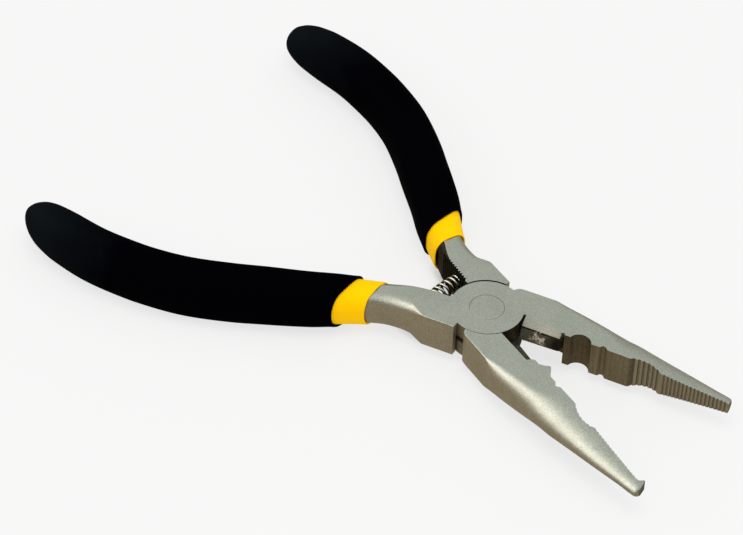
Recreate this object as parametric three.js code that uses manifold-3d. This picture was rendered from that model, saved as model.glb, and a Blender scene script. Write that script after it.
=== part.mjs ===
// Spring-loaded long-nose pliers with side cutters, a crimping zone and
// double-dipped grips. Millimetres, +Z up.
//
// Frame: the origin is the centre of the flush rivet head on the upper side of
// the joint, on the pivot axis. +X runs along the bisector of the two jaws,
// towards their tips; +Z is the pivot axis, out of that head. The tool stands
// open, as its spring holds it. The shapes are drawn about the middle of the
// thickness, and the whole group is moved down by half of it at the end.
//
// The joint is a lap joint: the upper half has its round boss in the upper
// half of the thickness, the lower half has it in the lower half, and each
// half is full thickness outside the other one's boss. Both halves are drawn
// in the same frame: u (x) from the pivot towards the jaw tip, v (y) away from
// the closing line, jaw at +v and shank at -v. The lower one is turned over
// about X. They differ in jaw face, length and set, blade, mouths of the
// coats, the upper's deep recess and the lower's serrations.

import * as THREE from 'three';
import { mergeVertices } from 'three/addons/utils/BufferGeometryUtils.js';
import Module from 'manifold-3d';

const wasm = await Module();
wasm.setup();

// ---------------------------------------------------------------- dimensions
const HALF_T = 4.05;           // half the thickness of joint, shanks and jaw roots
const CUT_REACH = 6;           // cutting bodies reach this far above and below the middle
const LAP_GAP = 0.06;          // each lap face stands this far off the mid plane
const BOSS_R = 7.6;            // round boss of the lap joint
const BOSS_CLEAR = 0.25;       // radial clearance round the other half's boss
const BOSS_SEGMENTS = 72;

const JAW_OPEN = 15.685;       // each jaw's inner face stands this far from +X, degrees
const JAW_SET = -0.9;          // set of the upper jaw against its own handle, degrees
const HANDLE_TURN = { upper: JAW_OPEN - JAW_SET, lower: -JAW_OPEN };   // about Z, degrees
const JAW_LENGTH = 53.4;       // pivot to tip of the lower jaw
const UPPER_LENGTH = 52.7;     // the upper jaw stops short of the other's nib

const RIVET_R = 2.6;           // rivet shank
const RIVET_HEAD_R = 3.55;     // flush riveted head
const RIVET_GAP = 0.15;        // radial clearance in the bore
const HEAD_CONE = { start: 2.35, end: 3.25 };      // heights of the cone under the head
const COUNTERSINK = { start: 2.3, end: 3.2 };      // heights of the cone in the bore
const LATHE_SEGMENTS = 48;

const SEAT_U = -12.6;          // spring seats, along the shank
const SEAT_FACE_V = -0.5;      // face that a seat's depth is measured from
const SEAT_R = 1.95;
const SEAT_DEPTH = 2.5;

// ------------------------------------------------------------------ helpers
const deg = THREE.MathUtils.degToRad;
const signedPower = (value, power) => Math.sign(value) * Math.abs(value) ** power;

// Linear lookup in rows of [x, values...], x rising; returns the values at x,
// held at those of the end rows beyond the table.
function lookUp(rows, x) {
  const next = rows.findIndex((row) => x <= row[0]);
  if (next === 0) return rows[0].slice(1);
  if (next < 0) return rows[rows.length - 1].slice(1);
  const [x0, ...before] = rows[next - 1];
  const [x1, ...after] = rows[next];
  return before.map((value, i) => value + (after[i] - value) * (x - x0) / (x1 - x0));
}

// Welds a geometry into a manifold whose faces point outwards.
function solid(geometry) {
  geometry.deleteAttribute('normal');
  geometry.deleteAttribute('uv');
  const welded = mergeVertices(geometry, 1e-4);
  const positions = welded.attributes.position.array;
  const index = welded.index.array;
  const triangles = [];
  for (let i = 0; i < index.length; i += 3) {
    const [a, b, c] = index.slice(i, i + 3);
    if (a !== b && b !== c && a !== c) triangles.push(a, b, c);
  }
  const vertex = (i) => new THREE.Vector3().fromArray(positions, 3 * triangles[i]);
  let volume = 0;
  for (let i = 0; i < triangles.length; i += 3) {
    volume += vertex(i).dot(vertex(i + 1).cross(vertex(i + 2)));
  }
  if (volume < 0) {
    for (let i = 0; i < triangles.length; i += 3) {
      [triangles[i], triangles[i + 1]] = [triangles[i + 1], triangles[i]];
    }
  }
  return new wasm.Manifold(new wasm.Mesh({
    numProp: 3, vertProperties: positions, triVerts: new Uint32Array(triangles),
  }));
}

function toGeometry(manifold) {
  const mesh = manifold.getMesh();
  const geometry = new THREE.BufferGeometry();
  geometry.setAttribute('position', new THREE.BufferAttribute(mesh.vertProperties, 3));
  geometry.setIndex(new THREE.BufferAttribute(mesh.triVerts, 1));
  geometry.computeVertexNormals();
  return geometry;
}

// A closed skin through rings of points, all with the same count: a cylinder
// whose own rings are moved onto them, its cap centres onto the end centroids.
function skin(rings) {
  const count = rings[0].length;
  const spans = rings.length - 1;
  const geometry = new THREE.CylinderGeometry(1, 1, 1, count, spans);
  const position = geometry.attributes.position;
  for (let i = 0; i < position.count; i++) {
    const x = position.getX(i);
    const z = position.getZ(i);
    const ring = rings[Math.round((position.getY(i) + 0.5) * spans)];
    let point;
    if (Math.hypot(x, z) < 0.5) {
      point = ring.reduce((sum, p) => sum.add(p), new THREE.Vector3()).multiplyScalar(1 / count);
    } else {
      const step = Math.round(Math.atan2(z, x) / (2 * Math.PI) * count);
      point = ring[(step + count) % count];
    }
    position.setXYZ(i, point.x, point.y, point.z);
  }
  return solid(geometry);
}

function prism(outline, z0, z1) {
  const shape = new THREE.Shape(outline.map(([x, y]) => new THREE.Vector2(x, y)));
  const geometry = new THREE.ExtrudeGeometry(shape, { depth: z1 - z0, bevelEnabled: false });
  return solid(geometry.translate(0, 0, z0));
}

function post(radius, z0, z1) {
  return solid(new THREE.CylinderGeometry(radius, radius, z1 - z0, BOSS_SEGMENTS)
    .rotateX(Math.PI / 2).translate(0, 0, (z0 + z1) / 2));
}

// Turns a profile of [radius, z] about the pivot axis.
function lathe(profile) {
  const points = profile.map(([radius, z]) => new THREE.Vector2(radius, z));
  return solid(new THREE.LatheGeometry(points, LATHE_SEGMENTS).rotateX(Math.PI / 2));
}

// ----------------------------------------------------------------- jaw body
const TIP_TAPER_START = 50;    // beyond this u the stations scale to the jaw's length
const TIP_SLANT = 0.52;        // the lower jaw's end is cut aslant, longer on its outer side
const TIP_SHIFT = -0.05;
const TIP_BACK_DROP = 0.2;     // and its back is lowered there
const JAW_FLOOR_V = -1.6;      // the jaw's section reaches down to here before the face is cut
const BACK_STEPS = 12;         // round the back of the section
const FACE_U = [1, JAW_LENGTH + 3];   // extent of the face outlines
const FACE_TOP_V = 12;

// [u, v of the back's crown, v where the flat sides end]
const JAW_STATIONS = [
  [2.0, 6.2, 6.0], [2.8, 7.3, 7.0], [3.5, 8.0, 7.85], [4.6, 8.22, 8.1],
  [8.0, 8.3, 8.16], [11.5, 8.45, 8.15], [13.0, 8.62, 7.5], [14.6, 8.75, 6.95],
  [17.0, 8.65, 6.3], [20.0, 8.25, 5.55], [22.5, 7.9, 4.8], [25.0, 7.55, 3.8],
  [27.0, 7.32, 2.4], [29.0, 7.05, 1.2], [31.0, 6.8, 0.8], [34.0, 6.25, 0.6],
  [38.0, 5.45, 0.4], [42.3, 4.6, 0.3], [46.6, 3.65, 0.2], [50.0, 2.92, 0.1],
  [52.5, 2.45, 0.1], [JAW_LENGTH, 2.2, 0.1],
];
// [u, half thickness]
const JAW_THICKNESS = [
  [31, HALF_T], [33.3, 3.6], [38, 2.9], [42.3, 2.35], [46.6, 1.92],
  [49.8, 1.6], [52.9, 1.4], [JAW_LENGTH, 1.25],
];

function jawBody(face, length) {
  const tipScale = (length - TIP_TAPER_START) / (JAW_LENGTH - TIP_TAPER_START);
  const rings = JAW_STATIONS.map(([stationU, backV, flatV], i) => {
    const slanted = length === JAW_LENGTH && i === JAW_STATIONS.length - 1;
    const u = stationU < TIP_TAPER_START
      ? stationU
      : TIP_TAPER_START + (stationU - TIP_TAPER_START) * tipScale;
    const [halfT] = lookUp(JAW_THICKNESS, stationU);
    const rise = backV - (slanted ? TIP_BACK_DROP : 0) - flatV;
    const ring = [-halfT, halfT].map((z) => new THREE.Vector3(u, JAW_FLOOR_V, z));
    for (let j = 0; j <= BACK_STEPS; j++) {
      const angle = Math.PI / 2 - Math.PI * j / BACK_STEPS;
      const v = flatV + rise * Math.cos(angle);
      ring.push(new THREE.Vector3(u, v, halfT * Math.sin(angle)));
    }
    if (slanted) {
      for (const point of ring) point.x += TIP_SLANT * point.y + TIP_SHIFT;
    }
    return ring;
  });
  const plan = [...face, [FACE_U[1], FACE_TOP_V], [FACE_U[0], FACE_TOP_V]];
  return skin(rings).intersect(prism(plan, -CUT_REACH, CUT_REACH));
}

// ---------------------------------------------------------------- jaw faces
const BLADE_END = 16.95;       // end of the bypass cutting blades, along the jaw
const RECESS_V = 1.66;         // jaw face behind the other half's blade

// Outline points of a row of notches; base gives the face's v at any u.
function teeth(start, end, count, depth, base) {
  const pitch = (end - start) / count;
  const points = [];
  for (let i = 0; i < count; i++) {
    const [left, middle, right] = [0.24, 0.5, 0.76].map((part) => start + (i + part) * pitch);
    points.push([left, base(left)], [middle, base(middle) + depth], [right, base(right)]);
  }
  return points;
}
const flat = (v) => () => v;
const bowl = (start, end, v, depth) => (u) =>
  v + depth * Math.sin(Math.PI * (u - start) / (end - start)) ** 0.8;

// Arc of the crimp nest, from its pivot side to its tip side.
function nestArc() {
  const centre = [20.65, -0.62];
  const radius = 2.34;
  const steps = 8;
  const points = [];
  for (let i = 0; i <= steps; i++) {
    const angle = deg(163 - 146 * i / steps);
    points.push([centre[0] + radius * Math.cos(angle), centre[1] + radius * Math.sin(angle)]);
  }
  return points;
}

// [u, v] of the upper jaw's face, with the crimp nest
const NEST_FACE = [
  [FACE_U[0], RECESS_V], [BLADE_END, RECESS_V], [BLADE_END + 0.1, 0.02], [18.38, 0.02],
  ...nestArc(),
  [22.92, 0.06], [24.75, 0.12], [25.1, 0.62], [25.75, 0.7],
  [26.3, 0.12], [26.5, 0.0], [31.3, 0.0],
  ...teeth(31.5, 37.7, 6, 0.24, bowl(31.3, 37.9, 0.05, 1.0)),
  [37.9, 0.0], [38.3, 0.0],
  ...teeth(38.4, 52.3, 17, 0.18, flat(0)),
  [52.45, 0.0], [FACE_U[1], 0.0],
];
// [u, v] of the lower jaw's face, with the indenter and the nib at its tip
const INDENT_FACE = [
  [FACE_U[0], RECESS_V], [16.4, RECESS_V], [16.5, 1.5], [16.7, 0.8],
  [17.2, 0.28], [17.35, 0.2], [18.65, 0.2],
  [19.55, -0.5], [20.2, -1.28], [20.45, -1.38], [20.75, -1.3], [21.6, -0.56], [22.7, 0.2],
  [24.4, 0.2], [24.85, 0.66], [25.25, 0.84], [25.75, 0.52], [26.1, 0.22], [31.2, 0.22],
  ...teeth(31.4, 37.3, 6, 0.22, bowl(31.2, 37.6, 0.25, 0.85)),
  [37.6, 0.12], [38.0, 0.12],
  ...teeth(38.1, 51.7, 16, 0.16, flat(0.12)),
  [51.95, 0.12], [52.2, -0.05], [52.5, -0.72], [52.68, -1.0], [FACE_U[1], -1.06],
];

// ------------------------------------------------------------------- blades
// Bypass cutting blade: lies on the lap plane, bevelled up to the jaw's side in
// two facets that meet along a crease. The lower half's blade is the longer
// one, and the upper half is cut deeper to let it pass.
const EDGE_LAND = 0.22;        // height of the upright strip at the edge
const CREASE_Z = 2.94;
const BLADE_ROOT_V = 3.2;      // inside the jaw body
// [u, v of upper half's edge, v of lower half's edge, v of crease, v of bevel's top]
const BLADE_STATIONS = [
  [8.0, -1.5, -2.0, -0.5, 1.45],
  [10.0, -1.43, -1.96, -0.5, 1.35],
  [13.4, -1.3, -1.73, -0.5, 1.05],
  [15.8, -1.2, -1.6, -0.5, 0.5],
  [BLADE_END - 0.6, -1.15, -1.5, -0.45, 0.35],
  [BLADE_END, 0.32, 0.32, 0.38, 0.45],
  [BLADE_END + 0.45, 0.6, 0.6, 0.65, 0.7],
];
// [u, v] of the deeper cut in the upper jaw
const DEEP_RECESS = [
  [7.6, -2], [BLADE_END, -2], [BLADE_END, 2.5], [15.5, 2.85], [9.5, 2.85], [7.6, 2.6],
];

function blade(sideName) {
  return skin(BLADE_STATIONS.map(([u, upperEdge, lowerEdge, crease, top]) => {
    const edge = sideName === 'upper' ? upperEdge : lowerEdge;
    const section = [
      [edge, LAP_GAP], [edge, LAP_GAP + EDGE_LAND], [crease, CREASE_Z],
      [top, HALF_T], [BLADE_ROOT_V, HALF_T], [BLADE_ROOT_V, LAP_GAP],
    ];
    return section.map(([v, z]) => new THREE.Vector3(u, v, z));
  }));
}

// ------------------------------------------------------------------- shanks
// [u, v] of the handle line, from the waist of the shank to the tail.
// Distances s are measured along it.
const HANDLE_LINE = new THREE.CatmullRomCurve3([
  [-14, -4.05], [-16, -4.2], [-18.5, -4.5], [-21, -4.95], [-23.54, -5.75], [-29.74, -8.15],
  [-35.03, -10.49], [-44.08, -13.79], [-49.95, -15.9], [-59.34, -18.46], [-67.13, -19.34],
  [-72.11, -19.4], [-80.48, -18.78], [-88.46, -17.02], [-93.51, -15.75], [-97.0, -14.8],
  [-100.0, -13.95],
].map(([x, y]) => new THREE.Vector3(x, y, 0)), false, 'centripetal');
HANDLE_LINE.arcLengthDivisions = 800;
const LINE_LENGTH = HANDLE_LINE.getLength();

// Block beside the joint and its run-out into the waist:
// [u, outer v, inner v, inner corner radius, outer corner radius]
const BLOCK_STATIONS = [
  [-3.7, -8.15, -0.4, 0.12, 0.12],
  [-7.0, -8.15, -0.4, 0.12, 0.12],
  [-10.7, -8.15, -0.44, 0.12, 0.14],
  [-12.0, -7.8, -0.48, 0.2, 0.8],
  [-13.0, -7.5, -0.56, 0.28, 1.4],
];
const BLOCK_END_SLANT = 0.16;  // of the block's end beside the joint
const BLOCK_END_SHIFT = -0.1;

// Shank and tang along the handle line:
// [s, outer half width, inner half width, half height, inner corner radius, outer corner radius]
const TANG_STATIONS = [
  [0, 3.22, 3.36, HALF_T, 0.35, 1.75],
  [1.5, 3.12, 3.28, HALF_T, 0.5, 2.1],
  [3.5, 2.98, 3.1, HALF_T, 0.9, 2.2],
  [5.2, 2.92, 3.0, HALF_T, 1.4, 2.2],
  [7, 2.92, 2.94, HALF_T, 1.8, 2.1],
  [9.5, 2.98, 2.98, HALF_T, 1.9, 2.0],
  [13, 3.1, 3.1, HALF_T, 1.9, 2.0],
  [18, 3.2, 3.2, HALF_T, 2, 2],
  [26, 3.3, 3.3, 4.0, 2, 2],
  [38, 3.3, 3.3, 4.0, 2, 2],
  [56, 3.2, 3.2, 4.0, 2, 2],
  [72, 3.1, 3.1, 3.9, 2, 2],
  [80, 3.0, 3.0, 3.6, 2, 2],
  [82.6, 2.6, 2.6, 2.9, 2, 2],
  [83.5, 1.6, 1.6, 1.9, 1.4, 1.4],
];

// Point on the handle line and the direction to the outer side there.
function station(s) {
  const centre = HANDLE_LINE.getPointAt(s / LINE_LENGTH);
  const along = HANDLE_LINE.getTangentAt(s / LINE_LENGTH);
  return { centre, outward: new THREE.Vector3(-along.y, along.x, 0) };
}

// Point of a section: so far to the outer side of its centre and so far up.
function sectionPoint({ centre, outward }, across, up) {
  return centre.clone().addScaledVector(outward, across).add(new THREE.Vector3(0, 0, up));
}

// Steel section: a rectangle with its own corner radius on inner and outer side.
function steelRing(place, [outerW, innerW, halfHeight, innerR, outerR]) {
  // [side, up or down, half width, corner radius, start angle in degrees]
  const corners = [
    [1, 1, outerW, outerR, 0], [-1, 1, innerW, innerR, 90],
    [-1, -1, innerW, innerR, 180], [1, -1, outerW, outerR, 270],
  ];
  return corners.flatMap(([side, up, width, radius, start]) => [0, 30, 60, 90].map((turn) => {
    const angle = deg(start + turn);
    const across = side * (width - radius) + radius * Math.cos(angle);
    return sectionPoint(place, across, up * (halfHeight - radius) + radius * Math.sin(angle));
  }));
}

function blockRings() {
  const outward = new THREE.Vector3(0, -1, 0);
  const rings = BLOCK_STATIONS.map(([u, outerV, innerV, innerR, outerR]) => {
    const centre = new THREE.Vector3(u, (outerV + innerV) / 2, 0);
    const halfWidth = (innerV - outerV) / 2;
    return steelRing({ centre, outward }, [halfWidth, halfWidth, HALF_T, innerR, outerR]);
  });
  const outerV = BLOCK_STATIONS[0][1];
  for (const point of rings[0]) {
    point.x += (point.y - outerV) * BLOCK_END_SLANT + BLOCK_END_SHIFT;
  }
  return rings;
}

function tangRings() {
  return TANG_STATIONS.map(([s, ...sizes]) => steelRing(station(s), sizes));
}

// The hollow for the tang in the under-coat: the tang grown by a gap on all
// sides and beyond its end, from ahead of the coat's mouth.
function tangHollow(gap) {
  const hollowStart = 3;
  const end = TANG_STATIONS.length - 1;
  const rings = [];
  TANG_STATIONS.forEach(([s, ...sizes], i) => {
    if (s < hollowStart) return;
    rings.push(steelRing(station(s + (i === end ? gap : 0)), sizes.map((size) => size + gap)));
  });
  return skin(rings);
}

// Serrations on the lower shank's inner face, between the joint and the grip.
function serrations() {
  const count = 12;
  const start = -18.1;
  const pitch = (-8.9 - start) / count;
  const outline = [[-18.4, 3], [-18.4, -1.3]];
  for (let i = 0; i < count; i++) {
    const u = start + i * pitch;
    const v = -1.32 + (u - start) * 0.055;
    outline.push([u + 0.12 * pitch, v + 0.06]);
    outline.push([u + 0.5 * pitch, v - 0.28]);
    outline.push([u + 0.88 * pitch, v + 0.1]);
  }
  outline.push([-8.7, -0.3], [-8.7, 3]);
  return prism(outline, -CUT_REACH, CUT_REACH);
}

// -------------------------------------------------------------- steel halves
// Rivet bore, countersunk on the outer side.
function rivetBore() {
  const shankR = RIVET_R + RIVET_GAP;
  const headR = RIVET_HEAD_R + RIVET_GAP;
  return lathe([
    [0, -CUT_REACH], [shankR, -CUT_REACH], [shankR, COUNTERSINK.start],
    [headR, COUNTERSINK.end], [headR, CUT_REACH], [0, CUT_REACH],
  ]);
}

// Blind seat for the spring.
function springSeat() {
  const overcut = 2;           // reaches this far out of the shank's face
  const middleV = SEAT_FACE_V + (overcut - SEAT_DEPTH) / 2;
  return solid(new THREE.CylinderGeometry(SEAT_R, SEAT_R, SEAT_DEPTH + overcut, 28)
    .translate(SEAT_U, middleV, 0));
}

function steelHalf({ name, face, jawLength, jawSet }) {
  let shank = skin([...blockRings(), ...tangRings()]);
  let jaw = jawBody(face, jawLength).add(blade(name));
  if (name === 'lower') shank = shank.subtract(serrations());
  else jaw = jaw.subtract(prism(DEEP_RECESS, -CUT_REACH, LAP_GAP));
  return shank.add(jaw.rotate([0, 0, jawSet]))
    .subtract(post(BOSS_R + BOSS_CLEAR, -CUT_REACH, LAP_GAP))   // room for the other boss
    .add(post(BOSS_R, LAP_GAP, HALF_T))                         // own boss
    .subtract(rivetBore())
    .subtract(springSeat());
}

// -------------------------------------------------------------------- coats
const COAT_GAP = 0.1;          // between tang and under-coat, and under-coat and over-coat
const OVER_THICKNESS = 0.42;
const UNDER_END = 86.9;        // ends of the coats, along the handle line
const OVER_END = 88.1;
const COAT_SEGMENTS = 20;      // round the section

// The over-coat's tail is blunt and slanted: it draws in early on the outer
// side and stays nearly full width on the inner side up to a squarish end.
// [s, outer half width, inner half width, half height]
const COAT_STATIONS = [
  [5.0, 4.15, 4.15, 4.9], [8.0, 4.28, 4.28, 4.9], [10.0, 4.42, 4.42, 4.93],
  [13, 4.72, 4.72, 5.02], [16.5, 4.98, 4.98, 5.22], [22, 5.18, 5.18, 5.6],
  [32, 5.3, 5.3, 6.05], [38, 5.3, 5.3, 6.2], [48, 5.2, 5.2, 6.3],
  [56, 5.12, 5.12, 6.25], [61, 5.13, 5.13, 6.22], [69, 5.1, 5.1, 6.12],
  [77, 4.9, 5.0, 5.93], [82.0, 4.2, 4.85, 5.3], [85.0, 3.25, 4.4, 4.4],
  [86.8, 2.3, 3.8, 3.35], [87.6, 1.7, 3.2, 2.75], [OVER_END, 1.0, 2.3, 1.95],
];
// [s, greatest half width of the under-coat], ahead of the last station only
const UNDER_FRONT = [[5.0, 3.72], [8.0, 3.82], [10.0, 3.95], [13.0, 4.2]];
const UNDER_FRONT_END = 13;
// [s, how far further along the under-coat takes its size], to stay inside the over-coat
const UNDER_LEAD = [[80, 0], [UNDER_END, 1.0]];
// [s, exponent of the superelliptic section]
const COAT_POWER = [[6, 2.8], [12, 2.6], [24, 2.4], [80, 2.3]];
// Fractions of the length from mouth to end at which the sections stand.
const COAT_STEPS = [
  0, 0.012, 0.03, 0.055, 0.09, 0.13, 0.19, 0.26, 0.34, 0.43,
  0.52, 0.61, 0.7, 0.78, 0.85, 0.905, 0.945, 0.97, 0.988, 1,
];

// Each returns [outer half width, inner half width, half height] at s.
const overSize = (s) => lookUp(COAT_STATIONS, s);
function underSize(s) {
  const [lead] = lookUp(UNDER_LEAD, s);
  const widest = s < UNDER_FRONT_END ? lookUp(UNDER_FRONT, s)[0] : Infinity;
  const [outer, inner, height] = overSize(s + lead).map((x) => x - OVER_THICKNESS - COAT_GAP);
  return [Math.min(outer, widest), Math.min(inner, widest), height];
}

// Where a dip stops on the handle line at a given angle round the section
// (0 on the outer side): a slanted, slightly bowed line.
function mouthAt({ s, slant, bow }, angle) {
  const across = signedPower(Math.cos(angle), 2 / lookUp(COAT_POWER, s)[0]);
  return s + slant * across + bow * across * across;
}

function coatSkin(sizeAt, mouth, end, grow = 0) {
  return skin(COAT_STEPS.map((fraction) => {
    const ring = [];
    for (let k = 0; k < COAT_SEGMENTS; k++) {
      const angle = 2 * Math.PI * k / COAT_SEGMENTS;
      const start = mouthAt(mouth, angle);
      const s = start + (end - start) * fraction;
      const [outer, inner, halfHeight] = sizeAt(s);
      const power = 2 / lookUp(COAT_POWER, s)[0];
      const cosine = Math.cos(angle);
      const across = signedPower(cosine, power) * ((cosine > 0 ? outer : inner) + grow);
      const up = signedPower(Math.sin(angle), power) * (halfHeight + grow);
      ring.push(sectionPoint(station(s), across, up));
    }
    return ring;
  }));
}

function underCoat({ underMouth }) {
  return coatSkin(underSize, underMouth, UNDER_END).subtract(tangHollow(COAT_GAP));
}

function overCoat({ underMouth, overMouth }) {
  return coatSkin(overSize, overMouth, OVER_END)
    .subtract(coatSkin(underSize, underMouth, UNDER_END, COAT_GAP));
}

// -------------------------------------------------------------------- rivet
function rivet() {
  return lathe([
    [0, -HALF_T], [RIVET_HEAD_R, -HALF_T], [RIVET_HEAD_R, -HEAD_CONE.end],
    [RIVET_R, -HEAD_CONE.start], [RIVET_R, HEAD_CONE.start],
    [RIVET_HEAD_R, HEAD_CONE.end], [RIVET_HEAD_R, HALF_T], [0, HALF_T],
  ]);
}

// ------------------------------------------------------------------- spring
const COIL_R = 1.45;           // mean coil radius
const WIRE_R = 0.25;
const WIRE_SIDES = 6;
const COIL_TURNS = 9;
const STEPS_PER_TURN = 13;
const COIL_END_PART = 0.12;    // part of the wire at each end over which the pitch falls to nothing
const COIL_END_GAP = 0.12;     // between wire and bottom of seat
const AXIS_REACH = 4;          // Bezier handles of the spring's axis

// The spring's axis, from one seat to the other, square to both.
function springAxis() {
  const pivotAxis = new THREE.Vector3(0, 0, 1);
  const inSeat = (turn, flip, depth) =>
    new THREE.Vector3(SEAT_U, flip * (SEAT_FACE_V - depth), 0).applyAxisAngle(pivotAxis, deg(turn));
  const deep = SEAT_DEPTH - WIRE_R - COIL_END_GAP;
  return new THREE.CubicBezierCurve3(
    inSeat(HANDLE_TURN.upper, 1, deep),
    inSeat(HANDLE_TURN.upper, 1, deep - AXIS_REACH),
    inSeat(HANDLE_TURN.lower, -1, deep - AXIS_REACH),
    inSeat(HANDLE_TURN.lower, -1, deep),
  );
}

class Coil extends THREE.Curve {
  constructor(axis) {
    super();
    this.axis = axis;
  }

  getPoint(t, target = new THREE.Vector3()) {
    const part = COIL_END_PART;
    let advance = t - part / 2;
    if (t < part) advance = t * t / (2 * part);
    else if (t > 1 - part) advance = 1 - part - (1 - t) * (1 - t) / (2 * part);
    const w = advance / (1 - part);
    const centre = this.axis.getPoint(w);
    const along = this.axis.getTangent(w);
    const angle = 2 * Math.PI * COIL_TURNS * t;
    const across = COIL_R * Math.cos(angle);
    return target.set(
      centre.x - along.y * across, centre.y + along.x * across, COIL_R * Math.sin(angle));
  }
}

function spring() {
  const outline = [];
  for (let i = 0; i < WIRE_SIDES; i++) {
    const angle = 2 * Math.PI * i / WIRE_SIDES;
    outline.push(new THREE.Vector2(WIRE_R * Math.cos(angle), WIRE_R * Math.sin(angle)));
  }
  return solid(new THREE.ExtrudeGeometry(new THREE.Shape(outline), {
    steps: COIL_TURNS * STEPS_PER_TURN,
    bevelEnabled: false,
    extrudePath: new Coil(springAxis()),
  }));
}

// ---------------------------------------------------------------- materials
const material = (color, roughness, metalness) =>
  new THREE.MeshStandardMaterial({ color, roughness, metalness });
const steel = () => material(0xa3a699, 0.42, 1.0);
const wireSteel = () => material(0xb8b6ac, 0.3, 1.0);
const yellow = () => material(0xf7cb0a, 0.45, 0.0);
const black = () => material(0x050608, 0.6, 0.0);

// ----------------------------------------------------------------- assembly
const UPPER = {
  name: 'upper', face: NEST_FACE, jawLength: UPPER_LENGTH, jawSet: JAW_SET,
  underMouth: { s: 8.3, slant: 2.0, bow: 0.15 },
  overMouth: { s: 13.8, slant: 3.1, bow: 0.5 },
};
const LOWER = {
  name: 'lower', face: INDENT_FACE, jawLength: JAW_LENGTH, jawSet: 0,
  underMouth: { s: 6.9, slant: 0.9, bow: 0.4 },
  overMouth: { s: 12.7, slant: 2.9, bow: 1.0 },
};

function piece(name, manifold, surface) {
  const mesh = new THREE.Mesh(toGeometry(manifold), surface);
  mesh.name = name;
  return mesh;
}

function halfPieces(side) {
  return [
    piece(`jaw_half_${side.name}`, steelHalf(side), steel()),
    piece(`grip_undercoat_${side.name}`, underCoat(side), yellow()),
    piece(`grip_overcoat_${side.name}`, overCoat(side), black()),
  ];
}

const upper = new THREE.Group();
upper.rotation.z = deg(HANDLE_TURN.upper);
upper.add(...halfPieces(UPPER));

const turned = new THREE.Group();
turned.rotation.x = Math.PI;
turned.add(...halfPieces(LOWER));
const lower = new THREE.Group();
lower.rotation.z = deg(HANDLE_TURN.lower);
lower.add(turned);

const group = new THREE.Group();
group.add(upper, lower);
group.add(piece('pivot_rivet', rivet(), steel()));
group.add(piece('return_spring', spring(), wireSteel()));

// the origin is on the upper rivet head's face
group.position.z = -HALF_T;

export default group;
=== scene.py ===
"""Sprung long-nose pliers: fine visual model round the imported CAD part.

The pivot axis is Z and the origin is on the face of the upper rivet head. The jaws open
about +X and the handles run towards -X; the upper half's jaw is on the +Y side.
Each half is drawn in millimetres in its own frame: z = 0 is the middle of the thickness,
the jaw runs along +x with its back towards +y, and the handle lies on the -y side.
"""
from collections import namedtuple
from math import copysign, cos, hypot, pi, radians, sin, sqrt

import bpy
import bmesh
import numpy as np
from mathutils import Matrix, Vector


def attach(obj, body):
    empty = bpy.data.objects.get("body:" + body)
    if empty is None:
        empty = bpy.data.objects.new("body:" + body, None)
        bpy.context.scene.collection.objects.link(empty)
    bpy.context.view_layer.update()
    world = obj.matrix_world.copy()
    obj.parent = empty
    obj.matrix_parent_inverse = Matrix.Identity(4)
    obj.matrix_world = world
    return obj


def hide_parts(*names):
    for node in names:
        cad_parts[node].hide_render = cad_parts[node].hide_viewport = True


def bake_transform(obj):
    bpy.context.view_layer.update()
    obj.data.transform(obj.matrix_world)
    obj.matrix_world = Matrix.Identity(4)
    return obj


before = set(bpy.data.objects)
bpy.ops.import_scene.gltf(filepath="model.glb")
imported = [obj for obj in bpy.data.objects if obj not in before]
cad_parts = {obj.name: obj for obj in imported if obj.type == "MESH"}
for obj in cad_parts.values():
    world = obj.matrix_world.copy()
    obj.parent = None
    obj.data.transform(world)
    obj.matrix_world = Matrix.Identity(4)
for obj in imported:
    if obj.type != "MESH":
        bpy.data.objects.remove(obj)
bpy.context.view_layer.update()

MM = 0.001

# ------------------------------------------------------------ driving sizes, mm
HALF_T = 4.05                                   # half the thickness of the joint
BOSS_R, BOSS_CLEAR, LAP_GAP = 7.6, 0.25, 0.06
JAW_OPEN, JAW_SET = 15.685, -0.9                # degrees: each jaw's opening, upper jaw's set
JAW_LENGTH, UPPER_LENGTH, TIP_SLANT = 53.4, 52.7, 0.52
BLADE_START, BLADE_END, RECESS_Y = 8.0, 16.95, 1.66
HEAD_R, RIVET_GAP = 3.55, 0.05
SEAT_X, SEAT_R, SEAT_DEPTH = -12.6, 1.95, 2.5   # socket for the end of the spring
BEYOND = 6                                      # half height of cutters through the thickness


def turn(degrees, size=4):
    return Matrix.Rotation(radians(degrees), size, "Z")


# from each half's frame to the object's, still in mm
LIFT = Matrix.Translation((0, 0, -HALF_T))
HALVES = {"upper": LIFT @ turn(JAW_OPEN - JAW_SET),
          "lower": LIFT @ turn(-JAW_OPEN) @ Matrix.Rotation(pi, 4, "X")}


# --------------------------------------------------------------- curve helpers
def hermite(t, start, end, start_slope, end_slope):
    return ((2 * t**3 - 3 * t**2 + 1) * start + (t**3 - 2 * t**2 + t) * start_slope
            + (-2 * t**3 + 3 * t**2) * end + (t**3 - t**2) * end_slope)


def read_table(xs, ys, x):
    """Monotone cubic through a table, read at x; level past the ends."""
    x = min(max(x, xs[0]), xs[-1])
    widths = np.diff(xs)
    rises = np.diff(ys) / widths
    slopes = np.zeros(len(xs))
    slopes[0], slopes[-1] = rises[0], rises[-1]
    for i in range(1, len(xs) - 1):
        if rises[i - 1] * rises[i] > 0:
            before = 2 * widths[i] + widths[i - 1]
            after = widths[i] + 2 * widths[i - 1]
            slopes[i] = (before + after) / (before / rises[i - 1] + after / rises[i])
    i = min(max(int(np.searchsorted(xs, x, side="right")) - 1, 0), len(xs) - 2)
    width = widths[i]
    return float(hermite((x - xs[i]) / width, ys[i], ys[i + 1],
                         slopes[i] * width, slopes[i + 1] * width))


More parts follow.
